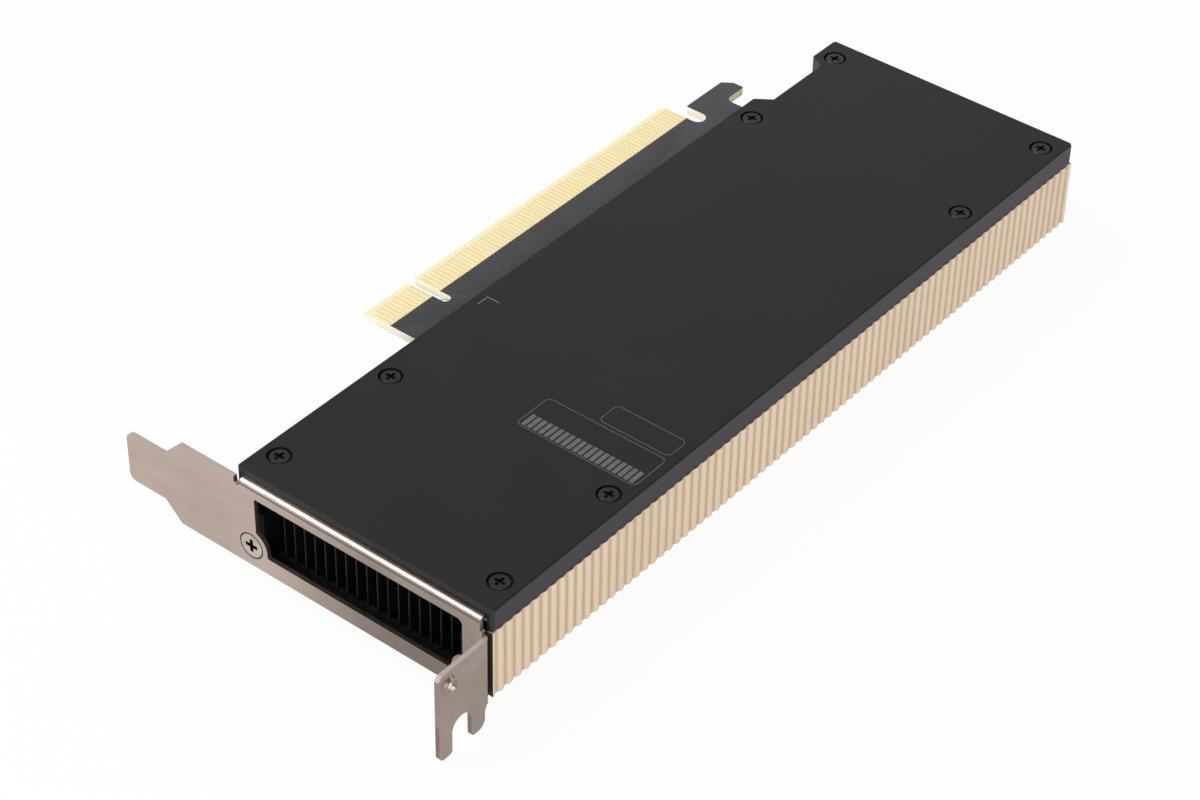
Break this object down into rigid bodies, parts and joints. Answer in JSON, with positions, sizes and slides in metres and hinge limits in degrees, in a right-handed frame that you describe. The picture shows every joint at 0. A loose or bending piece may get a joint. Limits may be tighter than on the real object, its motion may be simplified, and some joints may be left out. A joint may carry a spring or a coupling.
{
  "type": "passive accelerator card",
  "caption": "Low-profile passive server accelerator card with a black backplate, ribbed gold cover, slotted metal bracket and plated edge connector.",
  "frame": {"origin": "middle of the edge connector's key notch, at the contact tips, in the mid plane of the circuit board", "axes": "+X along the card away from its bracket, +Y out of the edge connector into the slot, +Z out through the backplate"},
  "size_m": [0.1805, 0.0798, 0.0231],
  "materials": {
    "backplate_black": "satin black coating",
    "screw_black": "black oxide",
    "screw_nickel": "nickel plating",
    "cover_gold": "champagne gold anodising",
    "bracket_nickel": "satin nickel plating",
    "board_black": "black solder mask",
    "contact_gold": "gold plating",
    "cooler_black": "black anodising",
    "substrate_green": "package laminate",
    "stiffener_steel": "bright nickel",
    "silicon": "polished silicon",
    "chip_black": "moulded package",
    "thermal_grey": "soft thermal filler",
    "film_black": "thin film",
    "inductor_grey": "pressed iron powder",
    "capacitor_tan": "ceramic and moulded bodies",
    "crystal_can": "plain metal can",
    "print_grey": "screen-printed ink"
  },
  "bodies": {
    "root": {"backplate": "backplate_black", "backplate_screws": "screw_black", "insulating_film": "film_black", "circuit_board": "board_black", "edge_contacts_back": "contact_gold", "edge_contacts_front": "contact_gold", "processor_substrate": "substrate_green", "processor_stiffener": "stiffener_steel", "processor_die": "silicon", "thermal_paste": "thermal_grey", "memory_chips_front": "chip_black", "memory_chips_back": "chip_black", "memory_pads_front": "thermal_grey", "memory_pads_back": "thermal_grey", "power_inductors": "inductor_grey", "power_stages": "chip_black", "bulk_capacitors": "capacitor_tan", "inductor_pads": "thermal_grey", "power_stage_pads": "thermal_grey", "voltage_controllers": "chip_black", "firmware_chip": "chip_black", "clock_crystal": "crystal_can", "input_fuse": "chip_black", "ceramic_capacitors": "capacitor_tan", "heat_spreader": "cooler_black", "fin_stack": "cooler_black", "ribbed_cover": "cover_gold", "bracket": "bracket_nickel", "bracket_screws": "screw_nickel"}
  },
  "joints": []
}
